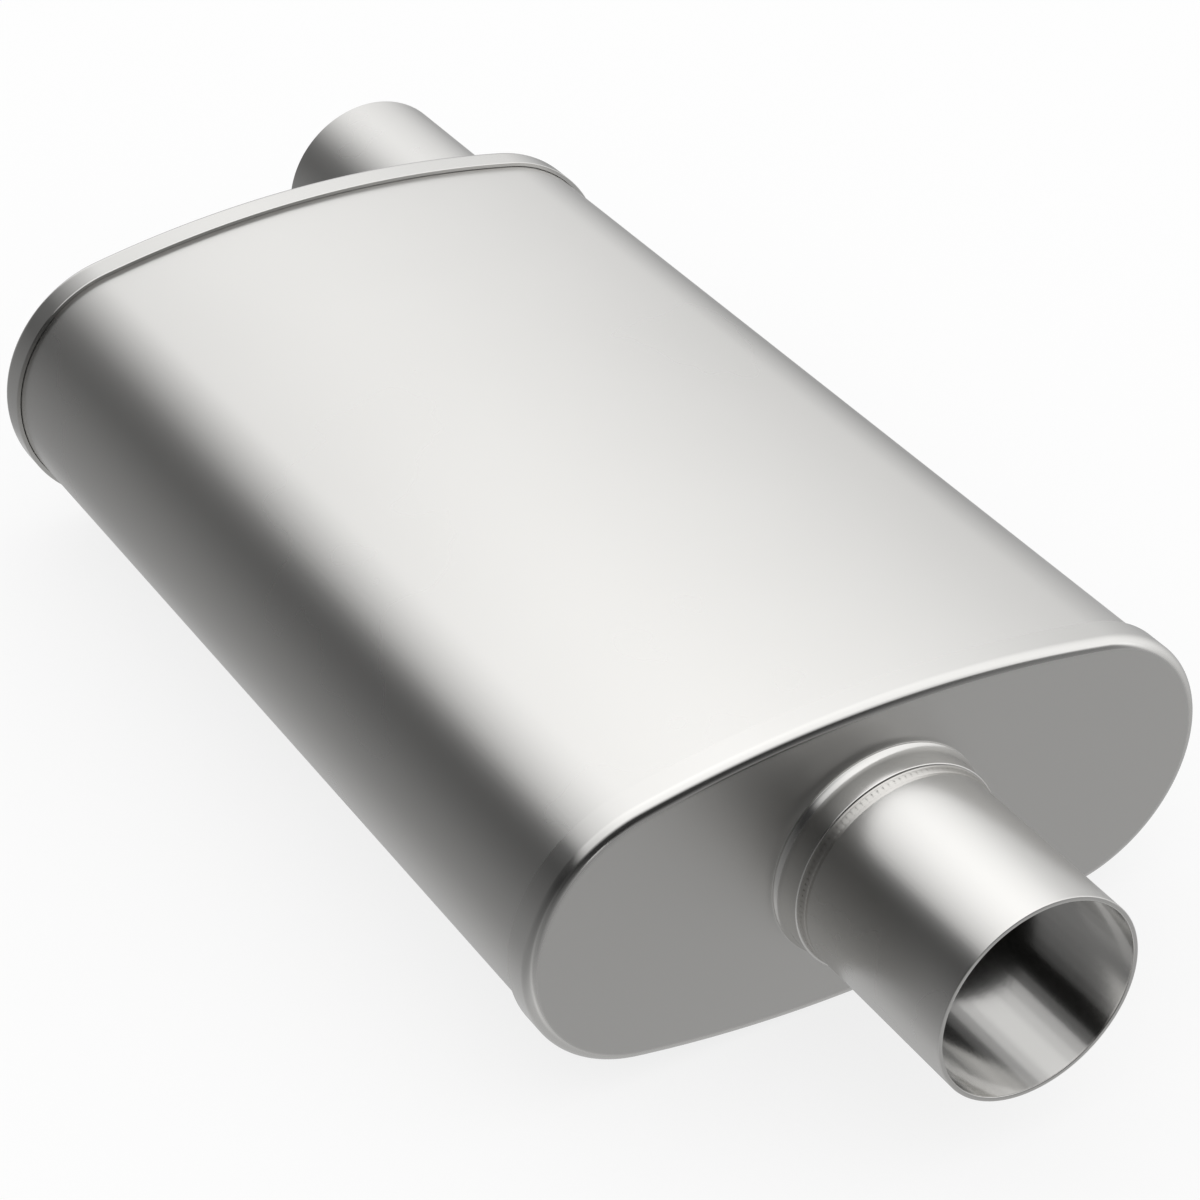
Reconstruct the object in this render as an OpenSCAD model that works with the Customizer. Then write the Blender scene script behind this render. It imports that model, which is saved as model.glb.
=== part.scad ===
// Straight-through muffler. A rolled oval shell is closed by two pressed end caps, and each cap has a collar
// drawn out of its plate around a neck tube. Inside, a perforated core takes the gas from the centred inlet
// to the offset outlet, wrapped in steel wool and held between two halves of fibre packing.
// Millimetres. X is across the width, Y runs from inlet to outlet, Z is up, and the origin is the middle
// of the body.

/* [Body] */
// Outside width of the oval shell
body_w = 228.6; // [200:0.1:300]
// Outside height of the oval shell
body_h = 101.6; // [96:0.1:140]
// Length of the body over the plates of the two caps
body_l = 355.6; // [300:0.1:600]
// Outside radius of the shell's two side arcs
side_r = 43.8; // [40:0.1:46]
// Thickness of the shell sheet
shell_t = 1.2; // [0.8:0.1:2]
// Width of the weld along the shell's seam
seam_w = 5; // [3:0.1:8]
// Height of that weld above the shell
seam_h = 0.6; // [0.3:0.1:1]

/* [End caps] */
// Thickness of the pressed cap sheet
cap_t = 1.6; // [1:0.1:2.4]
// Outside radius of the cap's pressed edge
cap_edge_r = 3.6; // [3:0.1:6]
// Length of the skirt, from the plate's outer face to its lip
skirt_l = 11.2; // [9:0.1:20]
// Length of the drawn collar outside the plate
collar_l = 10; // [6:0.1:16]
// Wall of the collar, thinned by the drawing
collar_t = 1.3; // [0.9:0.1:2]
// Outside radius at the root of the collar
collar_root_r = 1.7; // [0.8:0.1:3]

/* [Necks] */
// Bore of the two necks, which slips over a 63.5 pipe
neck_id = 64; // [50:0.1:66]
// Wall of the necks
neck_t = 1.5; // [1:0.1:2.2]
// Length of each neck outside its cap's plate
neck_l = 76.2; // [40:0.1:120]
// Length of each neck inside its cap's plate
neck_in_l = 32; // [26:0.1:50]
// Sideways offset of the outlet neck
outlet_offset = 67; // [0:0.1:70]
// Length of the weld bead on the neck
bead_l = 3.7; // [2:0.1:6]
// Height of the weld bead above the neck
bead_h = 0.8; // [0.4:0.1:0.9]

/* [Perforated core] */
// Wall of the core tube
core_t = 1.2; // [0.8:0.1:2]
// Radius of the bends in the core's centre line
core_bend_r = 87.1; // [80:0.1:250]
// How much the bending thins the wall, on each of its faces
bend_thin = 0.05; // [0.02:0.01:0.1]
// Straight length of the core between a taper and a bend
core_end_l = 12; // [8:0.1:30]
// Length of a belled end over its neck
bell_l = 18; // [10:0.1:22]
// Length of the taper from a bell down to the core
taper_l = 6; // [4:0.1:12]
// Diameter of the perforations
hole_d = 7; // [3:0.1:9]
// Distance between two rows of perforations
hole_pitch = 16; // [11:0.1:24]
// Number of perforations in a row
holes_around = 12; // [8:1:16]

/* [Filling] */
// Thickness of the steel wool around the core
wool_t = 6; // [3:0.1:8]

/* [Fits] */
// Clearance between pieces that slip together, on each side
slip_gap = 0.1; // [0.05:0.01:0.2]
// Clearance around the soft filling
fill_gap = 0.3; // [0.1:0.1:0.6]
// Gap left at the end of a piece that slides into its seat
end_gap = 0.5; // [0.2:0.1:1.5]

/* [Hidden] */
$fn = 180;
cut = 1; // how far a cutting shape reaches past what it cuts
over_a = 2; // how far, in degrees, a sweep runs past the plane that trims it

// The oval: two side arcs, and a crown above and below that meets them in tangents
side_x = body_w / 2 - side_r;
crown_calc = (side_x * side_x + body_h * body_h / 4 - side_r * side_r) / (body_h - 2 * side_r);
crown_r = round(1000 * crown_calc) / 1000;
crown_z = crown_r - body_h / 2;
side_a = atan2(crown_z, side_x);

// The caps: distances outside the shell's surface, and the flat of the plate
skirt_x = slip_gap + cap_t;
flat_x = skirt_x - cap_edge_r;
rim_w = 8; // width of the flat band that is swept with the edge and overlaps the plate
shell_l = body_l - 2 * (cap_edge_r + end_gap);

// The necks and the collars round them
neck_r = neck_id / 2;
neck_or = neck_r + neck_t;
collar_r = neck_or + slip_gap;
collar_or = collar_r + collar_t;
root_r = collar_or + collar_root_r;
entry_r = root_r - collar_r;
collar_edge_r = root_r + 2; // the flat round the collar is made with it up to here
neck_end_y = body_l / 2 - neck_in_l;

// The core: its bells and tapers, then the bend angle at which a straight run joins the two bends. A bend's
// thinned wall laps into the wall of a straight, which is bevelled there down to inside the thinned wall.
core_or = neck_r + core_t;
bell_r = neck_or + slip_gap;
bell_or = bell_r + core_t;
taper_y = neck_end_y - end_gap;
core_y = taper_y - taper_l;
bend_y = core_y - core_end_l;
centres_x = outlet_offset - 2 * core_bend_r;
centres_d = norm([centres_x, 2 * bend_y]);
bend_a = atan2(centres_x, 2 * bend_y) + asin(2 * core_bend_r / centres_d);
run_l = sqrt(centres_d * centres_d - 4 * core_bend_r * core_bend_r);
bend_lap = sqrt(bend_thin * core_bend_r) / 2;
bevel_l = bend_lap / 2;
rows = floor((run_l - 2 * hole_d) / hole_pitch) + 1;

// The filling
wool_r = core_or + slip_gap;
wool_or = wool_r + wool_t;
packing_x = -(shell_t + fill_gap);
packing_l = body_l - 2 * (cap_t + fill_gap);
channel_r = wool_or + fill_gap;
channel_end_r = bell_or + fill_gap;

// Turns a shape made along Z so that it runs along Y
module along_y() {
    rotate([-90, 0, 0]) children();
}

// Places a shape made for the inlet end, with the plate's outer face at 0 and the inside at +Y
module at_inlet() {
    translate([0, -body_l / 2, 0]) children();
}

// Places the same shape, mirrored, at the outlet end
module at_outlet() {
    mirror([0, 1, 0]) at_inlet() children();
}

module ring(r_out, r_in) {
    difference() {
        circle(r = r_out);
        if (r_in > 0) circle(r = r_in);
    }
}

module tube(r_out, r_in, l) {
    along_y() linear_extrude(height = l) ring(r_out, r_in);
}

// The oval as a flat shape, moved outwards from the shell's surface by x. A quarter takes a part of a side
// circle and a part of a crown circle, on the two sides of the line where they meet, and is mirrored.
module oval(x) {
    reach = 2 * crown_r;
    for (mx = [0, 1], my = [0, 1]) mirror([mx, 0]) mirror([0, my]) intersection() {
        translate([side_x, 0]) rotate(side_a) {
            intersection() {
                circle(r = side_r + x);
                translate([-reach / 2, -reach]) square(reach);
            }
            intersection() {
                translate([side_r - crown_r, 0]) circle(r = crown_r + x);
                translate([-reach, 0]) square([reach + body_w, reach]);
            }
        }
        square(reach);
    }
}

// Sweeps a flat section round the oval: its x is the distance outside the shell, its y runs along the body.
// A quarter is swept both ways from the line where its two arcs meet, trimmed, and mirrored.
module around_oval() {
    along_y() for (mx = [0, 1], my = [0, 1]) mirror([mx, 0, 0]) mirror([0, my, 0]) intersection() {
        translate([side_x, 0, 0]) rotate([0, 0, side_a]) {
            mirror([0, 1, 0]) rotate_extrude(angle = side_a + over_a) translate([side_r, 0]) children();
            translate([side_r - crown_r, 0, 0])
                rotate_extrude(angle = 90 - side_a + over_a) translate([crown_r, 0]) children();
        }
        translate([0, 0, -cut]) cube([body_w, body_h, body_l]);
    }
}

// Section of a cap's skirt, pressed edge and the outer band of its plate
module cap_edge_section() {
    translate([slip_gap, cap_edge_r]) square([cap_t, skirt_l - cap_edge_r]);
    translate([flat_x, cap_edge_r]) intersection() {
        ring(cap_edge_r, cap_edge_r - cap_t);
        translate([0, -cap_edge_r]) square(cap_edge_r);
    }
    translate([flat_x - rim_w, 0]) square([rim_w, cap_t]);
}

// Section of the drawn collar and the flat round it: x is the distance from the neck's axis, and the outside
// is at -y. It is cut from a block, by the outside of the collar and by its rounded entry.
module collar_section() {
    difference() {
        translate([collar_r, -collar_l]) square([collar_edge_r - collar_r, collar_l + cap_t]);
        translate([collar_or, -collar_l - cut]) square([collar_edge_r, collar_l + cut - collar_root_r]);
        translate([root_r, -collar_root_r - cut]) square([collar_edge_r, collar_root_r + cut]);
        translate([root_r, -collar_root_r]) circle(r = collar_root_r);
        difference() {
            translate([collar_r - cut, cap_t - entry_r]) square([entry_r + cut, entry_r + cut]);
            translate([root_r, cap_t - entry_r]) circle(r = entry_r);
        }
    }
}

module end_cap(offset_x) {
    difference() {
        union() {
            around_oval() cap_edge_section();
            along_y() linear_extrude(height = cap_t) oval(flat_x - rim_w / 2);
        }
        translate([offset_x, -cut, 0]) tube(collar_edge_r, 0, cap_t + 2 * cut);
    }
    translate([offset_x, 0, 0]) along_y() rotate_extrude() collar_section();
}

// A neck, from its mouth to its end inside the body
module neck(offset_x) {
    translate([offset_x, -neck_l, 0]) tube(neck_or, neck_r, neck_l + neck_in_l);
}

// A weld bead round a tube of radius r, hollow on its face, with its back at y = 0 and its toe at -y
module bead(r, h, l) {
    half = norm([h, l]) / 2;
    hollow_r = half / sin(atan(h / l) / 2);
    back = sqrt(hollow_r * hollow_r - half * half);
    away = [h, l] / norm([h, l]);
    along_y() rotate_extrude() translate([r, 0]) difference() {
        mirror([0, 1]) square([h, l]);
        translate([h / 2 + away[1] * back, -l / 2 - away[0] * back]) circle(r = hollow_r);
    }
}

// Places a shape at the middle of the core's straight run, with +Y along it
module at_run() {
    translate([outlet_offset / 2, 0, 0]) rotate([0, 0, -bend_a]) children();
}

// Places a shape there once for each way out of the run, which is its +Y
module each_way() {
    at_run() for (turn = [0, 180]) rotate([0, 0, turn]) children();
}

// From there, places a shape where the bend ends, with +Y along the straight after it
module past_bend() {
    translate([-core_bend_r, run_l / 2, 0]) rotate([0, 0, bend_a]) translate([core_bend_r, 0, 0]) children();
}

// The straight run of a tube that follows the core's centre line, or of a solid rod where r_in is 0
module run(r_out, r_in) {
    end = run_l / 2;
    full = end - bevel_l;
    inner = r_in == 0 ? [[0, -end], [0, end]] :
        [[r_in + 2 * bend_thin, -end], [r_in, -full], [r_in, full], [r_in + 2 * bend_thin, end]];
    outer = [[r_out - 2 * bend_thin, end], [r_out, full], [r_out, -full], [r_out - 2 * bend_thin, -end]];
    at_run() along_y() rotate_extrude() polygon(concat(inner, outer));
}

// The two bends of such a tube
module bends(r_out, r_in) {
    lap_a = asin(bend_lap / core_bend_r);
    each_way() translate([-core_bend_r, run_l / 2, 0]) rotate([0, 0, -lap_a])
        rotate_extrude(angle = bend_a + 2 * lap_a) translate([core_bend_r, 0])
            ring(r_out - bend_thin, r_in == 0 ? 0 : r_in + bend_thin);
}

// The two straights that follow the bends
module ends(r_out, r_in, l) {
    inner = r_in == 0 ? [[0, 0], [0, l]] : [[r_in + 2 * bend_thin, 0], [r_in, bevel_l], [r_in, l]];
    outer = [[r_out, l], [r_out, bevel_l], [r_out - 2 * bend_thin, 0]];
    each_way() past_bend() along_y() rotate_extrude() polygon(concat(inner, outer));
}

// The core's end straight, the taper from it to a bell, and the bell that slips over the neck
module core_end() {
    bell_y = core_end_l + taper_l;
    bell_end = bell_y + end_gap + bell_l;
    along_y() rotate_extrude() polygon([
        [neck_r + 2 * bend_thin, 0], [neck_r, bevel_l], [neck_r, core_end_l], [bell_r, bell_y],
        [bell_r, bell_end], [bell_or, bell_end], [bell_or, bell_y], [core_or, core_end_l],
        [core_or, bevel_l], [core_or - 2 * bend_thin, 0]
    ]);
}

// The perforations, in staggered rows along the straight run between the bends
module perforations() {
    step = 360 / holes_around;
    at_run() for (row = [0 : rows - 1], i = [0 : holes_around - 1])
        translate([0, (row - (rows - 1) / 2) * hole_pitch, 0]) rotate([0, (i + row % 2 / 2) * step, 0])
            translate([0, 0, neck_r - cut]) cylinder(d = hole_d, h = core_t + 2 * cut);
}

// Half of the packing, above the middle plane, with the room that the wool and the bells take out of it
module packing_half() {
    difference() {
        translate([0, -packing_l / 2, 0]) along_y() linear_extrude(height = packing_l) intersection() {
            oval(packing_x);
            translate([-body_w, -body_h - fill_gap / 2]) square([2 * body_w, body_h]);
        }
        run(channel_r, 0);
        bends(channel_r, 0);
        ends(channel_r, 0, core_end_l + fill_gap);
        ends(channel_end_r, 0, body_l / 2 - bend_y);
    }
}

module outer_shell() {
    color("gainsboro") translate([0, -shell_l / 2, 0]) along_y()
        linear_extrude(height = shell_l) difference() {
            oval(0);
            oval(-shell_t);
        }
}

module shell_seam_weld() {
    seam_r = (seam_w * seam_w / 4 + seam_h * seam_h) / (2 * seam_h);
    seam_l = body_l - 2 * (skirt_l + end_gap);
    color("silver") translate([0, -seam_l / 2, 0]) along_y() linear_extrude(height = seam_l) intersection() {
        translate([0, body_h / 2 + seam_h - seam_r]) circle(r = seam_r);
        translate([-seam_w, body_h / 2]) square([2 * seam_w, seam_w]);
    }
}

module inlet_end_cap() {
    color("darkgray") at_inlet() end_cap(0);
}

module outlet_end_cap() {
    color("darkgray") at_outlet() end_cap(outlet_offset);
}

module inlet_neck() {
    color("lightgray") at_inlet() neck(0);
}

module outlet_neck() {
    color("lightgray") at_outlet() neck(outlet_offset);
}

module inlet_neck_weld() {
    color("gray") at_inlet() translate([0, -collar_l, 0]) bead(neck_or, bead_h, bead_l);
}

module outlet_neck_weld() {
    color("gray") at_outlet() translate([outlet_offset, -collar_l, 0]) bead(neck_or, bead_h, bead_l);
}

module perforated_core() {
    color("lightsteelblue") {
        difference() {
            run(core_or, neck_r);
            perforations();
        }
        bends(core_or, neck_r);
        each_way() past_bend() core_end();
    }
}

module core_weld() {
    color("gray") at_inlet() translate([0, neck_in_l - bell_l, 0]) bead(neck_or, slip_gap + core_t, bead_l);
}

module steel_wool_sleeve() {
    color("slategray") {
        run(wool_or, wool_r);
        bends(wool_or, wool_r);
        ends(wool_or, wool_r, core_end_l);
    }
}

module upper_packing() {
    color("ivory") packing_half();
}

module lower_packing() {
    color("ivory") mirror([0, 0, 1]) packing_half();
}

outer_shell();
shell_seam_weld();
inlet_end_cap();
outlet_end_cap();
inlet_neck();
outlet_neck();
inlet_neck_weld();
outlet_neck_weld();
perforated_core();
core_weld();
steel_wool_sleeve();
upper_packing();
lower_packing();
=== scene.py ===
import math

import bmesh
import bpy
from bpy.props import FloatProperty, FloatVectorProperty, IntProperty, PointerProperty
from mathutils import Matrix, Vector, noise


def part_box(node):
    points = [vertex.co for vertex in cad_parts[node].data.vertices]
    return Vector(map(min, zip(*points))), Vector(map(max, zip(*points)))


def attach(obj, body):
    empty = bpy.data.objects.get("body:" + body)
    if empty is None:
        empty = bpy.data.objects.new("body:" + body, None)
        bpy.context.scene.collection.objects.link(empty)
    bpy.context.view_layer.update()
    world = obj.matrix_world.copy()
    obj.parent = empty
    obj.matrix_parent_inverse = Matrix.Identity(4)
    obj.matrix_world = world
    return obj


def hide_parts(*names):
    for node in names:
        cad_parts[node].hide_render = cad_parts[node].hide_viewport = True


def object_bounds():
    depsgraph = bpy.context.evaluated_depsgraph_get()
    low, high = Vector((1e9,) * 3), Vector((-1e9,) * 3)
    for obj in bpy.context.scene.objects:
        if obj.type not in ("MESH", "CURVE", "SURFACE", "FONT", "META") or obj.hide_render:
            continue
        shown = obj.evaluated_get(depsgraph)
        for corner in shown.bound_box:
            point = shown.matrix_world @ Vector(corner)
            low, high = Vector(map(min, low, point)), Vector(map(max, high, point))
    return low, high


bl_info = {
    "name": "Straight-through muffler",
    "version": (1, 0, 0),
    "blender": (4, 5, 0),
    "location": "3D View > Sidebar > Muffler",
    "description": "Finishes the sheet metal, welds, perforated core and packing of an oval muffler",
    "category": "Object",
}

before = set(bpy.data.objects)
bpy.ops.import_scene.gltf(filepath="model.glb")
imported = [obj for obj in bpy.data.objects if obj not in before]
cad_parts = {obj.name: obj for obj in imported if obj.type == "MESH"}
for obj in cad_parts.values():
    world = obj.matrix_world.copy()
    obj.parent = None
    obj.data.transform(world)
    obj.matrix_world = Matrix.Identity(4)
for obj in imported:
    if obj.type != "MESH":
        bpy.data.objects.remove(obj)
CAD_BOX = [list(corner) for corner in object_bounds()]

# The caps rest on the floor
FLOOR_Z = CAD_BOX[0][2]


class MufflerSizes(bpy.types.PropertyGroup):
    """Sizes of the pieces, as the solid model has them, and of the finer forms built over it"""

    body_w: FloatProperty(
        name="Body width", description="Outside width of the oval shell",
        default=0.2286, min=0.2, max=0.3, unit="LENGTH", precision=4)
    body_h: FloatProperty(
        name="Body height", description="Outside height of the oval shell",
        default=0.1016, min=0.096, max=0.14, unit="LENGTH", precision=4)
    body_l: FloatProperty(
        name="Body length", description="Length of the body over the plates of the two caps",
        default=0.3556, min=0.3, max=0.6, unit="LENGTH", precision=4)
    side_r: FloatProperty(
        name="Side radius", description="Outside radius of the shell's two side arcs",
        default=0.0438, min=0.04, max=0.046, unit="LENGTH", precision=4)
    shell_t: FloatProperty(
        name="Shell sheet", description="Thickness of the shell",
        default=0.0012, min=0.0008, max=0.002, unit="LENGTH", precision=4)
    cap_t: FloatProperty(
        name="Cap sheet", description="Thickness of the pressed caps",
        default=0.0016, min=0.001, max=0.0024, unit="LENGTH", precision=4)
    cap_edge_r: FloatProperty(
        name="Cap edge", description="Outside radius of the cap's pressed edge",
        default=0.0036, min=0.003, max=0.006, unit="LENGTH", precision=4)
    skirt_l: FloatProperty(
        name="Skirt", description="Length of the skirt, from the plate to its lip",
        default=0.0112, min=0.009, max=0.02, unit="LENGTH", precision=4)
    collar_l: FloatProperty(
        name="Collar", description="Length of the drawn collar outside the plate",
        default=0.010, min=0.006, max=0.016, unit="LENGTH", precision=4)
    collar_t: FloatProperty(
        name="Collar wall", description="Wall of the drawn collar",
        default=0.0013, min=0.0009, max=0.002, unit="LENGTH", precision=4)
    collar_root_r: FloatProperty(
        name="Collar root", description="Outside radius at the root of the collar",
        default=0.0017, min=0.0008, max=0.003, unit="LENGTH", precision=4)
    neck_id: FloatProperty(
        name="Neck bore", description="Bore of the necks",
        default=0.064, min=0.05, max=0.066, unit="LENGTH", precision=4)
    neck_t: FloatProperty(
        name="Neck wall", description="Wall of the necks",
        default=0.0015, min=0.001, max=0.0022, unit="LENGTH", precision=4)
    neck_l: FloatProperty(
        name="Neck length", description="Length of each neck outside its cap",
        default=0.0762, min=0.04, max=0.12, unit="LENGTH", precision=4)
    neck_in_l: FloatProperty(
        name="Neck inside", description="Length of each neck inside its cap",
        default=0.032, min=0.026, max=0.05, unit="LENGTH", precision=4)
    outlet_offset: FloatProperty(
        name="Outlet offset", description="Sideways offset of the outlet neck",
        default=0.067, min=0.0, max=0.07, unit="LENGTH", precision=4)
    core_t: FloatProperty(
        name="Core wall", description="Wall of the perforated core",
        default=0.0012, min=0.0008, max=0.002, unit="LENGTH", precision=4)
    core_bend_r: FloatProperty(
        name="Core bend", description="Radius of the bends in the core's centre line",
        default=0.0871, min=0.08, max=0.25, unit="LENGTH", precision=4)
    core_end_l: FloatProperty(
        name="Core end", description="Straight length of the core between a taper and a bend",
        default=0.012, min=0.008, max=0.03, unit="LENGTH", precision=4)
    bell_l: FloatProperty(
        name="Bell", description="Length of the core's belled ends over the necks",
        default=0.018, min=0.01, max=0.022, unit="LENGTH", precision=4)
    taper_l: FloatProperty(
        name="Taper", description="Length of the taper from a bell to the core",
        default=0.006, min=0.004, max=0.012, unit="LENGTH", precision=4)
    gap: FloatProperty(
        name="Slip gap", description="Clearance between pieces that slip together",
        default=0.0001, min=0.00005, max=0.0002, unit="LENGTH", precision=5)
    end_gap: FloatProperty(
        name="End gap", description="Gap at the end of a piece that slides into its seat",
        default=0.0005, min=0.0002, max=0.0015, unit="LENGTH", precision=4)
    hole_d: FloatProperty(
        name="Perforation", description="Diameter of the core's fine perforations",
        default=0.0032, min=0.002, max=0.0042, unit="LENGTH", precision=4)
    holes_around: IntProperty(
        name="Perforations around", description="Perforations in one row round the core",
        default=36, min=20, max=48)
    row_pitch: FloatProperty(
        name="Row pitch", description="Distance from one row of perforations to the next",
        default=0.005, min=0.004, max=0.01, unit="LENGTH", precision=4)
    bead_l: FloatProperty(
        name="Bead length", description="Length of a weld bead on the neck",
        default=0.0037, min=0.002, max=0.006, unit="LENGTH", precision=4)
    bead_h: FloatProperty(
        name="Bead height", description="Height of a weld bead above the neck",
        default=0.0008, min=0.0004, max=0.0009, unit="LENGTH", precision=4)
    ripple_pitch: FloatProperty(
        name="Weld ripple", description="Distance from one ripple of a weld to the next",
        default=0.0019, min=0.0008, max=0.004, unit="LENGTH", precision=4)
    wool_t: FloatProperty(
        name="Wool", description="Thickness of the steel wool round the core",
        default=0.006, min=0.003, max=0.008, unit="LENGTH", precision=4)
    fill_gap: FloatProperty(
        name="Filling gap", description="Gap between the filling and the pieces round it",
        default=0.0003, min=0.0001, max=0.001, unit="LENGTH", precision=5)
    ripple_height: FloatProperty(
        name="Ripple height", description="Half the thickness of a weld's ripples",
        default=0.00012, min=0.00005, max=0.0006, unit="LENGTH", precision=5)


class MufflerFinish(bpy.types.PropertyGroup):
    """Colours and gloss of the finishes"""

    shell_colour: FloatVectorProperty(
        name="Shell steel", description="Colour of the rolled shell", subtype="COLOR", size=3,
        default=(0.60, 0.594, 0.58), min=0.0, max=1.0)
    cap_colour: FloatVectorProperty(
        name="Cap steel", description="Colour of the pressed caps", subtype="COLOR", size=3,
        default=(0.60, 0.594, 0.58), min=0.0, max=1.0)
    neck_colour: FloatVectorProperty(
        name="Neck steel", description="Colour of the neck tubes", subtype="COLOR", size=3,
        default=(0.60, 0.594, 0.58), min=0.0, max=1.0)
    weld_colour: FloatVectorProperty(
        name="Weld", description="Colour of the weld beads", subtype="COLOR", size=3,
        default=(0.50, 0.49, 0.47), min=0.0, max=1.0)
    core_colour: FloatVectorProperty(
        name="Core steel", description="Colour of the perforated core", subtype="COLOR", size=3,
        default=(0.48, 0.475, 0.46), min=0.0, max=1.0)
    wool_colour: FloatVectorProperty(
        name="Steel wool", description="Colour of the wool round the core", subtype="COLOR", size=3,
        default=(0.16, 0.16, 0.155), min=0.0, max=1.0)
    packing_colour: FloatVectorProperty(
        name="Packing", description="Colour of the fibre packing", subtype="COLOR", size=3,
        default=(0.72, 0.69, 0.58), min=0.0, max=1.0)
    satin: FloatProperty(
        name="Satin roughness", description="Roughness of the satin sheet and tube",
        default=0.28, min=0.05, max=0.8)
    bore_satin: FloatProperty(
        name="Bore roughness", description="Roughness of the necks' bores, smoothed by the mandrel",
        default=0.14, min=0.05, max=0.8)
    cap_satin: FloatProperty(
        name="Pressed roughness", description="Roughness of the pressed caps, smoothed by the die",
        default=0.17, min=0.05, max=0.8)
    plate_satin: FloatProperty(
        name="Plate roughness", description="Roughness of the flat plates, which the die leaves matt",
        default=0.42, min=0.05, max=0.8)


class MufflerStage(bpy.types.PropertyGroup):
    """The studio round the muffler"""

    floor_colour: FloatVectorProperty(
        name="Floor", description="Colour of the pale floor", subtype="COLOR", size=3,
        default=(0.94, 0.94, 0.94), min=0.0, max=1.0)
    floor_white: FloatProperty(
        name="Floor white", description="How far the camera sees the floor as plain white",
        default=0.78, min=0.0, max=0.9)
    camera_place: FloatVectorProperty(
        name="Camera", description="Where the camera stands", subtype="XYZ", size=3, unit="LENGTH",
        default=(-0.48619, -0.81244, 0.62915))
    camera_turn: FloatProperty(
        name="Camera turn", description="Compass angle of the view, from the front towards the left",
        default=math.radians(-30.2279), subtype="ANGLE")
    camera_height: FloatProperty(
        name="Camera height angle", description="Angle at which the camera looks down",
        default=math.radians(35.4418), subtype="ANGLE")
    camera_roll: FloatProperty(
        name="Camera roll", description="Tilt of the picture", default=math.radians(-0.1393), subtype="ANGLE")
    camera_lens: FloatProperty(
        name="Lens", description="Focal length of the camera in mm, for a picture 36 mm wide",
        default=106.11, min=20.0, max=300.0)
    camera_shift: FloatVectorProperty(
        name="Lens shift", description="Shift of the picture to the right and up", size=2,
        default=(0.0622, 0.0551), min=-1.0, max=1.0)
    tent_radius: FloatProperty(
        name="Tent radius", description="Distance of the light tent from the muffler",
        default=1.1, min=0.6, max=4.0, unit="LENGTH")
    tent_length: FloatProperty(
        name="Tent length", description="Length of the light tent along the muffler",
        default=28.0, min=4.0, max=40.0, unit="LENGTH")
    tent_strength: FloatProperty(
        name="Tent strength", description="Brightness of the light tent", default=1.0, min=0.0, max=4.0)


def new_object(name, vertices, faces, edges=(), smooth=True):
    mesh = bpy.data.meshes.new(name)
    mesh.from_pydata(vertices, list(edges), faces)
    mesh.update()
    if smooth and faces:
        mesh.shade_smooth()
    piece = bpy.data.objects.new(name, mesh)
    bpy.context.scene.collection.objects.link(piece)
    return piece


def face_outwards(mesh, merge=0.0):
    """Turns the faces of a closed mesh outwards, and makes its hard edges sharp"""
    work = bmesh.new()
    work.from_mesh(mesh)
    if merge:
        bmesh.ops.remove_doubles(work, verts=work.verts, dist=merge)
    bmesh.ops.recalc_face_normals(work, faces=work.faces)
    work.to_mesh(mesh)
    work.free()
    mesh.shade_smooth()
    mesh.set_sharp_from_angle(angle=math.radians(32))


def joined_loops(name, loops):
    """A closed skin through closed loops of points, the last of which joins the first"""
    count = len(loops[0])
    points = [point for loop in loops for point in loop]
    faces = []
    for i in range(len(loops)):
        k = (i + 1) % len(loops)
        for j in range(count):
            n = (j + 1) % count
            faces.append((i * count + j, i * count + n, k * count + n, k * count + j))
    piece = new_object(name, points, faces)
    face_outwards(piece.data)
    return piece


def seat(piece, material, slot, *nodes):
    """Dresses a finished piece, and tells the frame what it rides on and stands for"""
    piece.data.materials.clear()
    piece.data.materials.append(material)
    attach(piece, "root")
    if nodes:
        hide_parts(*nodes)


def dress(node, material):
    """Gives a node of the frame a better material in each of its slots"""
    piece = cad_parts[node]
    if not piece.material_slots:
        piece.data.materials.append(material)
    for place in piece.material_slots:
        place.material = material


def nodes_for(material):
    material.use_nodes = True
    tree = material.node_tree
    tree.nodes.clear()
    return tree


def add(tree, kind, place=(0, 0), **values):
    node = tree.nodes.new(kind)
    node.location = place
    for key, value in values.items():
        setattr(node, key, value)
    return node


def calc(tree, operation, *terms):
    """A Math node with its terms, which are numbers or outputs of other nodes"""
    node = add(tree, "ShaderNodeMath", operation=operation)
    for place, term in zip(node.inputs, terms):
        if isinstance(term, (int, float)):
            place.default_value = term
        else:
            tree.links.new(term, place)
    return node.outputs[0]


def vector_calc(tree, operation, first, second=None, scale=None):
    node = add(tree, "ShaderNodeVectorMath", operation=operation)
    tree.links.new(first, node.inputs[0])
    if second is not None:
        if isinstance(second, tuple):
            node.inputs[1].default_value = second
        else:
            tree.links.new(second, node.inputs[1])
    if scale is not None:
        tree.links.new(scale, node.inputs["Scale"])
    return node.outputs[0]


def geometry_tree(name, *values):
    """An empty Geometry Nodes tree with a geometry coming in, the named values, and a geometry going out"""
    tree = bpy.data.node_groups.new(name, "GeometryNodeTree")
    face = tree.interface
    face.new_socket("Geometry", in_out="INPUT", socket_type="NodeSocketGeometry")
    for label, kind in values:
        face.new_socket(label, in_out="INPUT", socket_type="NodeSocket" + kind)
    face.new_socket("Geometry", in_out="OUTPUT", socket_type="NodeSocketGeometry")
    return tree, add(tree, "NodeGroupInput", (-1200, 0)).outputs, add(tree, "NodeGroupOutput", (1200, 0))


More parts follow.
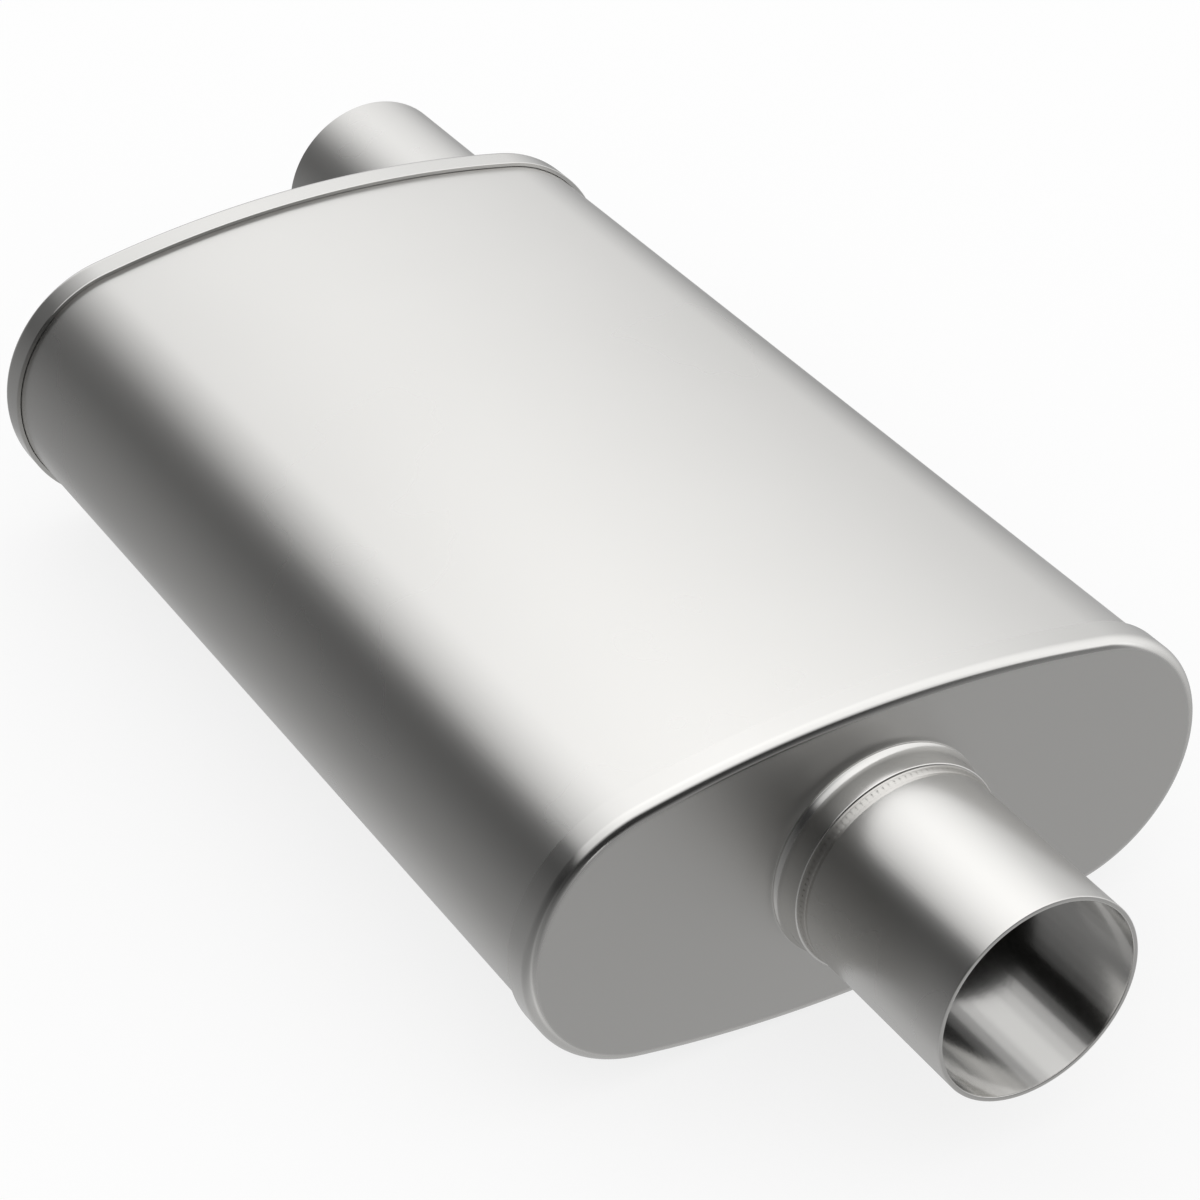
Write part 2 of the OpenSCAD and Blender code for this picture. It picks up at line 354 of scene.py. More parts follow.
def realise(tree, geometry, material, out):
    """The end of each tree: real geometry with its material set"""
    real = add(tree, "GeometryNodeRealizeInstances", (800, 0))
    dressed = add(tree, "GeometryNodeSetMaterial", (1000, 0))
    tree.links.new(geometry, real.inputs[0])
    tree.links.new(real.outputs[0], dressed.inputs["Geometry"])
    tree.links.new(material, dressed.inputs["Material"])
    tree.links.new(dressed.outputs[0], out.inputs[0])


def run_tree(piece, tree, **values):
    """Runs a tree on a piece with the given values and keeps what it makes as the piece's plain mesh"""
    modifier = piece.modifiers.new(tree.name, "NODES")
    modifier.node_group = tree
    for item in tree.interface.items_tree:
        key = item.name.lower().replace(" ", "_")
        if item.in_out == "INPUT" and key in values:
            modifier[item.identifier] = values[key]
    graph = bpy.context.evaluated_depsgraph_get()
    made = bpy.data.meshes.new_from_object(piece.evaluated_get(graph), depsgraph=graph)
    piece.modifiers.remove(modifier)
    piece.data = made
    return piece


def side_and_crown(sizes):
    """The oval: where a side arc is centred, the crown's radius and centre, and the angle where they meet"""
    side_x = sizes.body_w / 2 - sizes.side_r
    crown_r = ((side_x ** 2 + sizes.body_h ** 2 / 4 - sizes.side_r ** 2)
               / (sizes.body_h - 2 * sizes.side_r))
    crown_z = crown_r - sizes.body_h / 2
    return side_x, crown_r, crown_z, math.atan2(crown_z, side_x)


def oval_loop(sizes, outwards, y, side_steps=96, crown_steps=64):
    """Points round the oval at one place along the body, moved outwards from the shell's surface"""
    side_x, crown_r, crown_z, meet = side_and_crown(sizes)
    half = [meet * (2 * i / side_steps - 1) for i in range(side_steps)]
    half += [meet + (math.pi - 2 * meet) * i / crown_steps for i in range(crown_steps)]
    points = []
    for i, angle in enumerate(half + [a + math.pi for a in half]):
        c, s = math.cos(angle), math.sin(angle)
        way = 1 if i < len(half) else -1
        if i % len(half) < side_steps:
            r = sizes.side_r + outwards
            points.append((way * side_x + r * c, y, r * s))
        else:
            r = crown_r + outwards
            points.append((r * c, y, r * s - way * crown_z))
    return points


def ring_loop(radius, x, y, angles):
    return [(x + radius * math.cos(a), y, radius * math.sin(a)) for a in angles]


def arc(centre, radius, first, last, steps):
    """Points of an arc, with its angles in degrees"""
    angles = [math.radians(first + (last - first) * i / steps) for i in range(steps + 1)]
    return [(centre[0] + radius * math.cos(a), centre[1] + radius * math.sin(a)) for a in angles]


def revolved(name, section, x, count=192):
    """A closed section of (radius, y) points turned round a line along Y"""
    angles = [2 * math.pi * i / count for i in range(count)]
    return joined_loops(name, [ring_loop(r, x, y, angles) for r, y in section])


def noise_at(tree, where, scale, detail):
    """A noise texture read at the given coordinates"""
    texture = add(tree, "ShaderNodeTexNoise", (-500, 0))
    texture.inputs["Scale"].default_value = scale
    texture.inputs["Detail"].default_value = detail
    tree.links.new(where, texture.inputs["Vector"])
    return texture.outputs["Fac"]


def satin_steel(name, colour, roughness, along, grain=1.0, special=None):
    """Satin stainless sheet: a fine grain drawn out along one axis, and soft clouding. A function in special
    takes the tree and the object's coordinates, and gives what a treated area adds to the roughness."""
    fine, drawn_out, cloud, pit = 900, 14, 9.0, 650.0
    tone_share, gloss_share = 0.03, 0.015
    material = bpy.data.materials.new(name)
    tree = nodes_for(material)
    link = tree.links.new
    out = add(tree, "ShaderNodeOutputMaterial", (900, 0))
    shader = add(tree, "ShaderNodeBsdfPrincipled", (600, 0))
    shader.inputs["Metallic"].default_value = 1.0
    link(shader.outputs[0], out.inputs["Surface"])
    where = add(tree, "ShaderNodeTexCoord", (-1100, 0)).outputs["Object"]
    stretch = add(tree, "ShaderNodeMapping", (-700, -300))
    stretch.inputs["Scale"].default_value = [drawn_out if i == along else fine for i in range(3)]
    link(where, stretch.inputs["Vector"])
    lines = noise_at(tree, stretch.outputs[0], 1.0, 3.0)
    clouds = noise_at(tree, where, cloud, 4.0)
    pits = noise_at(tree, where, pit, 2.0)
    tone = add(tree, "ShaderNodeMix", (100, 200), data_type="RGBA")
    tone.inputs[6].default_value = (*[c * (1 - tone_share) for c in colour], 1)
    tone.inputs[7].default_value = (*[min(c * (1 + tone_share), 1) for c in colour], 1)
    link(clouds, tone.inputs["Factor"])
    link(tone.outputs[2], shader.inputs["Base Color"])
    rough = step_at(tree, clouds, 0.3, 0.7, roughness - gloss_share, roughness + gloss_share)
    if special:
        rough = calc(tree, "ADD", rough, special(tree, where))
    link(rough, shader.inputs["Roughness"])
    bump = add(tree, "ShaderNodeBump", (100, -400))
    bump.inputs["Strength"].default_value = 0.06 * grain
    bump.inputs["Distance"].default_value = 0.0001
    link(calc(tree, "ADD", lines, pits), bump.inputs["Height"])
    link(bump.outputs[0], shader.inputs["Normal"])
    return material


def step_at(tree, value, low, high, before, after):
    """Goes from one number to another while a value passes from low to high"""
    step = add(tree, "ShaderNodeMapRange", (100, 500))
    for key, number in (("From Min", low), ("From Max", high), ("To Min", before), ("To Max", after)):
        step.inputs[key].default_value = number
    tree.links.new(value, step.inputs["Value"])
    return step.outputs[0]


class MUFFLER_OT_case(bpy.types.Operator):
    """Build the rolled shell and the two pressed caps with their drawn collars"""

    bl_idname = "muffler.case"
    bl_label = "Case"

    def execute(self, context):
        sizes, finish = context.scene.muffler_sizes, context.scene.muffler_finish
        rolled = satin_steel("rolled shell steel", finish.shell_colour, finish.satin, 1)
        half = sizes.body_l / 2 - sizes.cap_edge_r - sizes.end_gap
        shell = joined_loops("rolled_shell", [
            oval_loop(sizes, 0, -half), oval_loop(sizes, 0, half),
            oval_loop(sizes, -sizes.shell_t, half), oval_loop(sizes, -sizes.shell_t, -half)])
        seat(shell, rolled, "shell_steel", "outer_shell")

        def plates(tree, where):
            """The flats of the plates stay matt, as the die only smooths what it bends"""
            split = add(tree, "ShaderNodeSeparateXYZ", (-700, 500))
            tree.links.new(where, split.inputs[0])
            along = calc(tree, "ABSOLUTE", split.outputs["Y"])
            off = calc(tree, "ABSOLUTE", calc(tree, "SUBTRACT", along, sizes.body_l / 2))
            flat, bent = 0.00001, 0.00008
            return step_at(tree, off, flat, bent, finish.plate_satin - finish.cap_satin, 0.0)

        pressed = satin_steel("pressed cap steel", finish.cap_colour, finish.cap_satin, 0, 0.4, plates)
        for name, node, end, x in (("pressed_inlet_cap", "inlet_end_cap", -1, 0.0),
                                   ("pressed_outlet_cap", "outlet_end_cap", 1, sizes.outlet_offset)):
            seat(self.cap(sizes, name, end, x), pressed, "cap_steel", node)
        return {"FINISHED"}

    def cap(self, sizes, name, end, x):
        """A cap whose plate lies at one end of the body. Depths are measured inwards from the plate."""
        near, burr, lip = 0.0003, 0.0002, 0.0004
        t, edge, root = sizes.cap_t, sizes.cap_edge_r, sizes.collar_root_r
        inside = sizes.gap
        flat = inside + t - edge
        collar_r = sizes.neck_id / 2 + sizes.neck_t + sizes.gap
        root_r = collar_r + sizes.collar_t + root
        entry = root_r - collar_r

        def at(depth):
            return end * (sizes.body_l / 2 - depth)

        outer = [(inside + t, sizes.skirt_l - burr), (inside + t, edge + near)]
        outer += arc((flat, edge), edge, 0, -90, 12) + [(flat - near, 0)]
        # from the plate a small round foot and shoulder, then a cove that draws the collar down to its wall
        foot, nose, cove, sweep = root * 0.08, root * 0.25, root * 2.8, 40
        wall_r = collar_r + sizes.collar_t
        ring = wall_r + (cove + nose) * (1 - math.cos(math.radians(sweep)))
        cove_end = -nose - (cove + nose) * math.sin(math.radians(sweep))
        drawn = [(ring + foot + near, 0)] + arc((ring + foot, -foot), foot, 90, 180, 4)
        drawn += arc((ring - nose, -nose), nose, 0, -sweep, 4)
        drawn += arc((wall_r + cove, cove_end), cove, 180 - sweep, 180, 6)
        drawn += arc((wall_r - lip, lip - sizes.collar_l), lip, 0, -90, 4)
        drawn += [(collar_r + burr, -sizes.collar_l), (collar_r, burr - sizes.collar_l)]
        drawn += arc((root_r, t - entry), entry, 180, 90, 8) + [(root_r + near, t)]
        inner = [(flat - near, t)] + arc((flat, edge), edge - t, -90, 0, 8)
        inner += [(inside, sizes.skirt_l - burr), (inside + burr, sizes.skirt_l)]
        inner += [(inside + t - burr, sizes.skirt_l)]
        rim = oval_loop(sizes, flat - near, 0)
        angles = [math.atan2(point[2], point[0] - x) for point in rim]
        loops = [oval_loop(sizes, out, at(depth)) for out, depth in outer]
        loops += [ring_loop(r, x, at(depth), angles) for r, depth in drawn]
        loops += [oval_loop(sizes, out, at(depth)) for out, depth in inner]
        return joined_loops(name, loops)


class MUFFLER_OT_necks(bpy.types.Operator):
    """Build the two neck tubes with the small rounding of their cut ends"""

    bl_idname = "muffler.necks"
    bl_label = "Necks"

    def execute(self, context):
        sizes, finish = context.scene.muffler_sizes, context.scene.muffler_finish
        r, wall, cut = sizes.neck_id / 2, sizes.neck_t, 0.0003

        def bores(tree, where):
            """The bores are smoother than the outsides, round the Y axis and beside it"""
            split = add(tree, "ShaderNodeSeparateXYZ", (-700, 500))
            tree.links.new(where, split.inputs[0])
            x, y, z = split.outputs
            middle = calc(tree, "MULTIPLY", calc(tree, "GREATER_THAN", y, 0.0), sizes.outlet_offset)
            x = calc(tree, "SUBTRACT", x, middle)
            squares = [calc(tree, "MULTIPLY", term, term) for term in (x, z)]
            off = calc(tree, "SQRT", calc(tree, "ADD", *squares))
            return step_at(tree, off, r + 0.0001, r + 0.0004, finish.bore_satin - finish.satin, 0.0)

        steel = satin_steel("neck tube steel", finish.neck_colour, finish.satin, 1, 1.0, bores)
        mouth = sizes.body_l / 2 + sizes.neck_l
        back = sizes.body_l / 2 - sizes.neck_in_l
        near = mouth - cut - 0.0004
        section = [(r, back), (r, near)] + arc((r + cut, mouth - cut), cut, 180, 90, 4)
        section += arc((r + wall - cut, mouth - cut), cut, 90, 0, 4) + [(r + wall, near), (r + wall, back)]
        for name, node, end, x in (("inlet_tube", "inlet_neck", -1, 0.0),
                                   ("outlet_tube", "outlet_neck", 1, sizes.outlet_offset)):
            tube = revolved(name, [(radius, end * y) for radius, y in section], x)
            seat(tube, steel, "neck_steel", node)
        return {"FINISHED"}


def ripple_tree(name, ring):
    """Ripples of a weld, as flattened drops: round a ring about the Y axis, or along Y"""
    tree, given, out = geometry_tree(
        name, ("Reach", "Float"), ("Pitch", "Float"), ("Width", "Float"), ("Height", "Float"),
        ("Lean", "Float"), ("Material", "Material"))
    link = tree.links.new
    reach, pitch = given["Reach"], given["Pitch"]
    run = calc(tree, "MULTIPLY", reach, 2 * math.pi if ring else 1.0)
    count = calc(tree, "ROUND", calc(tree, "DIVIDE", run, pitch))
    index = add(tree, "GeometryNodeInputIndex").outputs[0]
    points = add(tree, "GeometryNodePoints")
    place = add(tree, "ShaderNodeCombineXYZ")
    size = add(tree, "ShaderNodeCombineXYZ")
    turn = add(tree, "ShaderNodeCombineXYZ")
    lean = add(tree, "ShaderNodeCombineXYZ")
    link(count, points.inputs["Count"])
    half_width = calc(tree, "MULTIPLY", given["Width"], 0.5)
    half_pitch = calc(tree, "MULTIPLY", pitch, 1.1)
    if ring:
        angle = calc(tree, "DIVIDE", calc(tree, "MULTIPLY", index, 2 * math.pi), count)
        link(calc(tree, "MULTIPLY", calc(tree, "COSINE", angle), reach), place.inputs["X"])
        link(calc(tree, "MULTIPLY", calc(tree, "SINE", angle), reach), place.inputs["Z"])
        link(calc(tree, "MULTIPLY", angle, -1.0), turn.inputs["Y"])
        link(given["Height"], size.inputs["X"])
        link(half_width, size.inputs["Y"])
        link(half_pitch, size.inputs["Z"])
        link(given["Lean"], lean.inputs["Z"])
    else:
        middle = calc(tree, "DIVIDE", calc(tree, "SUBTRACT", count, 1.0), 2.0)
        link(calc(tree, "MULTIPLY", calc(tree, "SUBTRACT", index, middle), pitch), place.inputs["Y"])
        link(half_width, size.inputs["X"])
        link(half_pitch, size.inputs["Y"])
        link(given["Height"], size.inputs["Z"])
    link(place.outputs[0], points.inputs["Position"])
    drop = add(tree, "GeometryNodeMeshUVSphere")
    drop.inputs["Segments"].default_value = 12
    drop.inputs["Rings"].default_value = 7
    drop.inputs["Radius"].default_value = 1.0
    flat = add(tree, "GeometryNodeTransform")
    leant = add(tree, "GeometryNodeTransform")
    link(drop.outputs[0], flat.inputs["Geometry"])
    link(size.outputs[0], flat.inputs["Scale"])
    link(flat.outputs[0], leant.inputs["Geometry"])
    link(lean.outputs[0], leant.inputs["Rotation"])
    spread = add(tree, "GeometryNodeInstanceOnPoints")
    link(points.outputs[0], spread.inputs["Points"])
    link(leant.outputs[0], spread.inputs["Instance"])
    link(turn.outputs[0], spread.inputs["Rotation"])
    realise(tree, spread.outputs[0], given["Material"], out)
    return tree


class MUFFLER_OT_welds(bpy.types.Operator):
    """Finish the weld beads, and lay their ripples over them"""

    bl_idname = "muffler.welds"
    bl_label = "Welds"

    def execute(self, context):
        sizes, finish = context.scene.muffler_sizes, context.scene.muffler_finish
        bead = satin_steel("weld bead", finish.weld_colour, finish.satin, 1)
        for node in ("inlet_neck_weld", "outlet_neck_weld", "core_weld", "shell_seam_weld"):
            dress(node, bead)
        ring, straight = ripple_tree("ripples round a tube", True), ripple_tree("ripples of a seam", False)
        tube = sizes.neck_id / 2 + sizes.neck_t
        lip = sizes.body_l / 2 + sizes.collar_l
        core = sizes.body_l / 2 - sizes.neck_in_l + sizes.bell_l
        # where on a bead's slope the ripples lie, and how much of the bead they cover
        crest, cover = 0.42, 0.82
        for name, end, x, y, height in (
                ("inlet_weld_ripples", -1, 0.0, lip, sizes.bead_h),
                ("outlet_weld_ripples", 1, sizes.outlet_offset, lip, sizes.bead_h),
                ("core_weld_ripples", -1, 0.0, core, sizes.gap + sizes.core_t)):
            ripples = new_object(name, [(0, 0, 0)], [])
            run_tree(ripples, ring, reach=tube + height * crest, pitch=sizes.ripple_pitch,
                     width=sizes.bead_l * cover, height=sizes.ripple_height,
                     lean=end * math.atan2(height, sizes.bead_l), material=bead)
            ripples.data.transform(Matrix.Translation((x, end * (y + sizes.bead_l * crest), 0)))
            ripples.data.shade_smooth()
            seat(ripples, bead, "weld_steel")
        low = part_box("shell_seam_weld")
        seam = new_object("seam_weld_ripples", [(0, 0, 0)], [])
        run_tree(seam, straight, reach=(low[1].y - low[0].y) * 0.995, pitch=sizes.ripple_pitch * 1.3,
                 width=(low[1].x - low[0].x) * 0.8, height=sizes.ripple_height, material=bead)
        seam.data.transform(Matrix.Translation((0, 0, low[0].z + sizes.ripple_height)))
        seam.data.shade_smooth()
        seat(seam, bead, "weld_steel")
        return {"FINISHED"}


def centre_line(sizes):
    """Points of the core's centre line, from the taper at the inlet to the one at the outlet"""
    bend_y = (sizes.body_l / 2 - sizes.neck_in_l - sizes.end_gap - sizes.taper_l - sizes.core_end_l)
    r, x = sizes.core_bend_r, sizes.outlet_offset
    apart = math.hypot(x - 2 * r, 2 * bend_y)
    bend = math.atan2(x - 2 * r, 2 * bend_y) + math.asin(2 * r / apart)
    start = bend_y + sizes.core_end_l
    half = [(0.0, -start + sizes.core_end_l * i / 6) for i in range(6)]
    half += [(r - r * math.cos(bend * i / 24), r * math.sin(bend * i / 24) - bend_y) for i in range(24)]
    turn = (r - r * math.cos(bend), r * math.sin(bend) - bend_y)
    half += [(turn[0] + (x / 2 - turn[0]) * i / 40, turn[1] * (1 - i / 40)) for i in range(40)]
    return half + [(x / 2, 0.0)] + [(x - px, -py) for px, py in reversed(half)]


def perforation_tree():
    """Wraps a grid of cells, each with one hole, round the tube that follows the incoming line"""
    tree, given, out = geometry_tree(
        "perforated tube", ("Cell", "Object"), ("Around", "Int"), ("Rows", "Int"), ("Length", "Float"),
        ("Radius", "Float"), ("Material", "Material"))
    link = tree.links.new
    index = add(tree, "GeometryNodeInputIndex").outputs[0]
    around, rows = given["Around"], given["Rows"]
    points = add(tree, "GeometryNodePoints")
    link(calc(tree, "MULTIPLY", around, rows), points.inputs["Count"])
    row = calc(tree, "FLOOR", calc(tree, "DIVIDE", calc(tree, "ADD", index, 0.5), around))
    column = calc(tree, "SUBTRACT", index, calc(tree, "MULTIPLY", row, around))
    odd = calc(tree, "MULTIPLY", calc(tree, "FLOORED_MODULO", row, 2.0), 0.5)
    step = calc(tree, "DIVIDE", calc(tree, "MULTIPLY", given["Radius"], 2 * math.pi), around)
    place = add(tree, "ShaderNodeCombineXYZ")
    link(calc(tree, "MULTIPLY", calc(tree, "ADD", column, odd), step), place.inputs["X"])
    pitch = calc(tree, "DIVIDE", given["Length"], rows)
    link(calc(tree, "MULTIPLY", calc(tree, "ADD", row, 0.5), pitch), place.inputs["Y"])
    link(place.outputs[0], points.inputs["Position"])
    cell = add(tree, "GeometryNodeObjectInfo")
    link(given["Cell"], cell.inputs["Object"])
    spread = add(tree, "GeometryNodeInstanceOnPoints")
    link(points.outputs[0], spread.inputs["Points"])
    link(cell.outputs["Geometry"], spread.inputs["Instance"])
    flat = add(tree, "GeometryNodeRealizeInstances")
    link(spread.outputs[0], flat.inputs[0])
    line = add(tree, "GeometryNodeMeshToCurve")
    link(given["Geometry"], line.inputs["Mesh"])
    spot = add(tree, "ShaderNodeSeparateXYZ")
    link(add(tree, "GeometryNodeInputPosition").outputs[0], spot.inputs[0])
    follow = add(tree, "GeometryNodeSampleCurve", mode="LENGTH")
    follow.use_all_curves = True
    link(line.outputs[0], follow.inputs["Curves"])
    link(spot.outputs["Y"], follow.inputs["Length"])
    side = vector_calc(tree, "NORMALIZE", vector_calc(
        tree, "CROSS_PRODUCT", follow.outputs["Tangent"], (0.0, 0.0, 1.0)))
    angle = calc(tree, "DIVIDE", calc(tree, "MULTIPLY", spot.outputs["X"], -1.0), given["Radius"])
    reach = calc(tree, "ADD", given["Radius"], spot.outputs["Z"])
    sideways = calc(tree, "MULTIPLY", calc(tree, "COSINE", angle), reach)
    across = vector_calc(tree, "SCALE", side, scale=sideways)
    rise = add(tree, "ShaderNodeCombineXYZ")
    link(calc(tree, "MULTIPLY", calc(tree, "SINE", angle), reach), rise.inputs["Z"])
    wrapped = vector_calc(tree, "ADD", vector_calc(tree, "ADD", follow.outputs["Position"], across),
                          rise.outputs[0])
    wrap = add(tree, "GeometryNodeSetPosition")
    link(flat.outputs[0], wrap.inputs["Geometry"])
    link(wrapped, wrap.inputs["Position"])
    weld = add(tree, "GeometryNodeMergeByDistance")
    weld.inputs["Distance"].default_value = 0.00002
    link(wrap.outputs[0], weld.inputs["Geometry"])
    realise(tree, weld.outputs[0], given["Material"], out)
    return tree


class MUFFLER_OT_core(bpy.types.Operator):
    """Build the perforated core: a bent tube of cells with one hole each, and its two belled ends"""

    bl_idname = "muffler.core"
    bl_label = "Perforated core"

    def execute(self, context):
        sizes, finish = context.scene.muffler_sizes, context.scene.muffler_finish
        steel = satin_steel("perforated core steel", finish.core_colour, finish.satin, 1)
        outer = sizes.neck_id / 2 + sizes.core_t
        line = centre_line(sizes)
        length = sum(math.dist(a, b) for a, b in zip(line, line[1:]))
        rows = round(length / sizes.row_pitch)
        core = new_object("perforated_tube", [(x, y, 0) for x, y in line], [],
                          edges=[(i, i + 1) for i in range(len(line) - 1)])
        cell = self.cell(sizes, 2 * math.pi * outer / sizes.holes_around, length / rows)
        run_tree(core, perforation_tree(), cell=cell, around=sizes.holes_around, rows=rows, length=length,
                 radius=outer, material=steel)
        bpy.data.objects.remove(cell)
        work = bmesh.new()
        work.from_mesh(core.data)
        for end, x in ((-1, 0.0), (1, sizes.outlet_offset)):
            self.bell(work, sizes, end, x)
        bmesh.ops.remove_doubles(work, verts=work.verts, dist=0.00002)
        work.to_mesh(core.data)
        work.free()
        face_outwards(core.data)
        seat(core, steel, "core_steel", "perforated_core")
        return {"FINISHED"}

    def cell(self, sizes, width, length):
        """One cell of the sheet, with its hole: its outside face at 0, its inside one a wall below"""
        r, t = sizes.hole_d / 2, sizes.core_t
        w, l = width / 2, length / 2
        rim = [(w, 0), (w, l), (0, l), (-w, l), (-w, 0), (-w, -l), (0, -l), (w, -l)]
        hole = [(r * math.cos(math.pi * i / 4), r * math.sin(math.pi * i / 4)) for i in range(8)]
        points = [(x, y, z) for z in (0.0, -t) for x, y in rim + hole]
        faces = []
        for i in range(8):
            n = (i + 1) % 8
            faces += [(i, n, n + 8, i + 8), (n + 16, i + 16, i + 24, n + 24), (i + 8, n + 8, n + 24, i + 24)]
        return new_object("cell", points, faces)

    def bell(self, work, sizes, end, x):
        """Adds a taper and a bell to the open end of the tube"""
        r, t = sizes.neck_id / 2, sizes.core_t
        wide = r + sizes.neck_t + sizes.gap
        start = sizes.body_l / 2 - sizes.neck_in_l - sizes.end_gap - sizes.taper_l
        y = (start, start + sizes.taper_l, start + sizes.taper_l + sizes.end_gap + sizes.bell_l)
        section = ((r + t, y[0]), (wide + t, y[1]), (wide + t, y[2]), (wide, y[2]), (wide, y[1]), (r, y[0]))
        count = sizes.holes_around * 2
        rings = []
        for radius, at in section:
            angles = [2 * math.pi * i / count for i in range(count)]
            rings.append([work.verts.new(p) for p in ring_loop(radius, x, end * at, angles)])
        for a, b in zip(rings, rings[1:]):
            for i in range(count):
                n = (i + 1) % count
                work.faces.new((a[i], a[n], b[n], b[i]))


def fibrous(name, colour, shade, metallic, stretch):
    """Matted fibres: long wandering strands in two tones, with deep gaps between them; the darker tone is
    painted shade, laid in the gaps where the height is low
    """
    material = bpy.data.materials.new(name)
    tree = nodes_for(material)
    link = tree.links.new
    out = add(tree, "ShaderNodeOutputMaterial", (900, 0))
    shader = add(tree, "ShaderNodeBsdfPrincipled", (600, 0))
    shader.inputs["Metallic"].default_value = metallic
    shader.inputs["Roughness"].default_value = 0.55 if metallic else 0.9
    link(shader.outputs[0], out.inputs["Surface"])
    where = add(tree, "ShaderNodeTexCoord", (-1100, 0))
    wander = add(tree, "ShaderNodeTexNoise", (-900, -300))
    wander.inputs["Scale"].default_value = 60.0
    link(where.outputs["Object"], wander.inputs["Vector"])
    strength = add(tree, "ShaderNodeValue", (-900, -600))
    strength.outputs[0].default_value = 0.012
    moved = vector_calc(tree, "ADD", where.outputs["Object"],
                        vector_calc(tree, "SCALE", wander.outputs["Color"], scale=strength.outputs[0]))
    layers = []
    for size in stretch:
        drawn = add(tree, "ShaderNodeMapping", (-500, -200))
        drawn.inputs["Scale"].default_value = size
        link(moved, drawn.inputs["Vector"])
        strands = add(tree, "ShaderNodeTexNoise", (-300, -200))
        strands.inputs["Scale"].default_value = 1.0
        strands.inputs["Detail"].default_value = 5.0
        link(drawn.outputs[0], strands.inputs["Vector"])
        layers.append(strands.outputs["Fac"])
    height = calc(tree, "MAXIMUM", *layers)
    # the colour darkens where the height is low, as painted shade in the gaps between the strands
    tone = add(tree, "ShaderNodeValToRGB", (200, 200))
    stops = tone.color_ramp.elements
    stops[0].position, stops[0].color = 0.42, (*[c * shade for c in colour], 1)
    stops[1].position, stops[1].color = 0.66, (*colour, 1)
    link(height, tone.inputs["Fac"])
    link(tone.outputs["Color"], shader.inputs["Base Color"])
    bump = add(tree, "ShaderNodeBump", (300, -400))
    bump.inputs["Strength"].default_value = 0.8
    bump.inputs["Distance"].default_value = 0.0006
    link(height, bump.inputs["Height"])
    link(bump.outputs[0], shader.inputs["Normal"])
    return material


def fibre_tree():
    """Lays thin curved fibres flat over a skin's marked faces, each turned and sized by a fixed seed"""
    tree, given, out = geometry_tree(
        "fibres over a skin", ("Density", "Float"), ("Length", "Float"), ("Thickness", "Float"),
        ("Sink", "Float"), ("Spread", "Float"), ("Seed", "Int"), ("Material", "Material"))
    link = tree.links.new
    spots = add(tree, "GeometryNodeDistributePointsOnFaces")
    link(given["Geometry"], spots.inputs["Mesh"])
    link(given["Density"], spots.inputs["Density"])
    link(given["Seed"], spots.inputs["Seed"])
    marked = add(tree, "GeometryNodeInputNamedAttribute", data_type="BOOLEAN")
    marked.inputs["Name"].default_value = "fibres"
    link(marked.outputs["Attribute"], spots.inputs["Selection"])
    bow = add(tree, "GeometryNodeCurveQuadraticBezier")
    bow.inputs["Resolution"].default_value = 5
    half = calc(tree, "MULTIPLY", given["Length"], 0.5)
    for key, across, side in (("Start", half, 0.0), ("Middle", 0.0, 0.3),
                              ("End", calc(tree, "MULTIPLY", half, -1.0), 0.0)):
        corner = add(tree, "ShaderNodeCombineXYZ")
        if across:
            link(across, corner.inputs["Y"])
        link(calc(tree, "MULTIPLY", given["Length"], side), corner.inputs["X"])
        link(calc(tree, "MULTIPLY", given["Sink"], -1.0), corner.inputs["Z"])
        link(corner.outputs[0], bow.inputs[key])
    ring = add(tree, "GeometryNodeCurvePrimitiveCircle")
    ring.inputs["Resolution"].default_value = 3
    link(given["Thickness"], ring.inputs["Radius"])
    strand = add(tree, "GeometryNodeCurveToMesh")
    link(bow.outputs[0], strand.inputs["Curve"])
    link(ring.outputs[0], strand.inputs["Profile Curve"])
    strand.inputs["Fill Caps"].default_value = True
    turn = add(tree, "FunctionNodeRandomValue", data_type="FLOAT")
    link(calc(tree, "MULTIPLY", given["Spread"], -1.0), turn.inputs[2])
    link(given["Spread"], turn.inputs[3])
    link(given["Seed"], turn.inputs["Seed"])
    size = add(tree, "FunctionNodeRandomValue", data_type="FLOAT")
    size.inputs[2].default_value = 0.5
    size.inputs[3].default_value = 1.2
    link(calc(tree, "ADD", given["Seed"], 1.0), size.inputs["Seed"])
    # the strand's own Y runs along the skin's length before it is turned about the skin's normal
    lay = add(tree, "FunctionNodeAlignRotationToVector", axis="Z")
    link(spots.outputs["Normal"], lay.inputs["Vector"])
    along = add(tree, "FunctionNodeAlignRotationToVector", axis="Y", pivot_axis="Z")
    link(lay.outputs[0], along.inputs["Rotation"])
    along.inputs["Vector"].default_value = (0.0, 1.0, 0.0)
    twist = add(tree, "FunctionNodeAxisAngleToRotation")
    twist.inputs["Axis"].default_value = (0.0, 0.0, 1.0)
    link(turn.outputs[1], twist.inputs["Angle"])
    turned = add(tree, "FunctionNodeRotateRotation", rotation_space="LOCAL")
    link(along.outputs[0], turned.inputs["Rotation"])
    link(twist.outputs[0], turned.inputs["Rotate By"])
    laid = add(tree, "GeometryNodeInstanceOnPoints")
    link(spots.outputs["Points"], laid.inputs["Points"])
    link(strand.outputs[0], laid.inputs["Instance"])
    link(turned.outputs[0], laid.inputs["Rotation"])
    link(size.outputs[1], laid.inputs["Scale"])
    both = add(tree, "GeometryNodeJoinGeometry")
    link(laid.outputs[0], both.inputs[0])
    link(given["Geometry"], both.inputs[0])
    realise(tree, both.outputs[0], given["Material"], out)
    return tree


